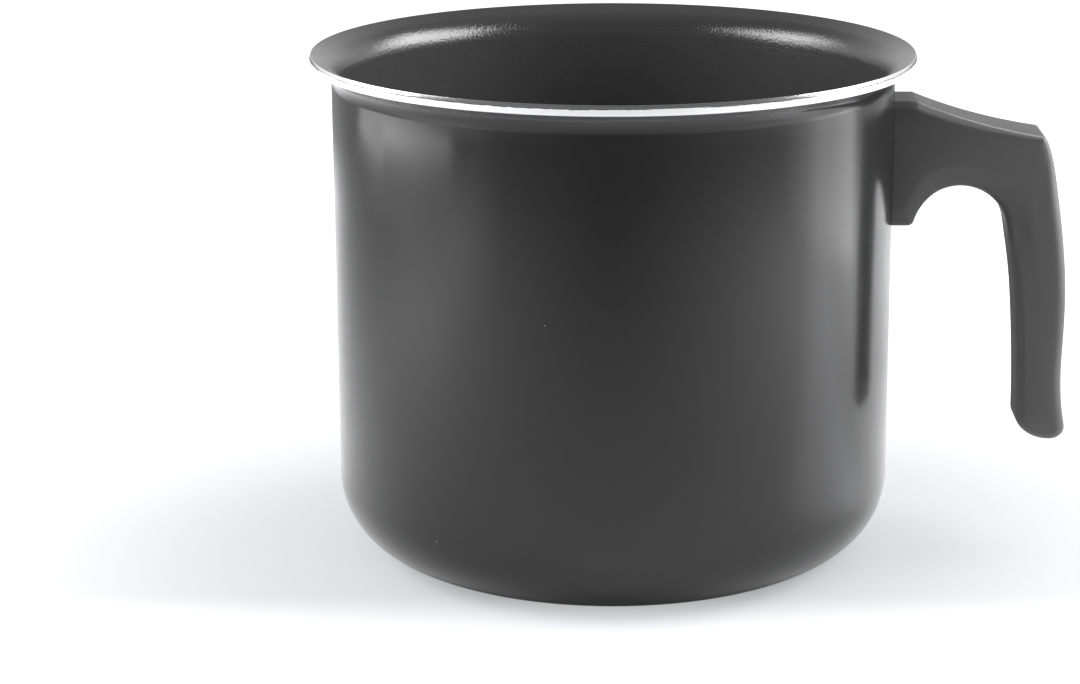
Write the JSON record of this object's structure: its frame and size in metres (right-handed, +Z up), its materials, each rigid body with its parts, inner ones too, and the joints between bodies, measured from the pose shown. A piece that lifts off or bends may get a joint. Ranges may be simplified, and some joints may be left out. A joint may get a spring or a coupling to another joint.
{
  "type": "saucepan",
  "caption": "Tall straight-sided saucepan with a rounded base corner, an outward-turned pouring lip and a short hooked side handle held by a hidden bracket and screw.",
  "frame": {"origin": "middle of the base on the worktop, on the pot's axis", "axes": "+Z up along the pot's axis, +X towards the handle"},
  "size_m": [0.1968, 0.1558, 0.1315],
  "materials": {
    "coated_aluminium": "satin-gloss dark grey lacquer outside, fine-textured non-stick coating inside, bare turned aluminium rim edge and underside",
    "phenolic_moulding": "satin black-grey phenolic moulding with crisp top edges",
    "zinc_plated_sheet": "zinc plated",
    "rivet_aluminium": "satin",
    "zinc_plated_fastener": "bright zinc plated"
  },
  "bodies": {
    "root": {"pot_shell": "coated_aluminium", "handle": "phenolic_moulding", "handle_bracket": "zinc_plated_sheet", "upper_rivet": "rivet_aluminium", "lower_rivet": "rivet_aluminium", "handle_screw": "zinc_plated_fastener", "spring_washer": "zinc_plated_fastener", "plain_washer": "zinc_plated_fastener"}
  },
  "joints": []
}
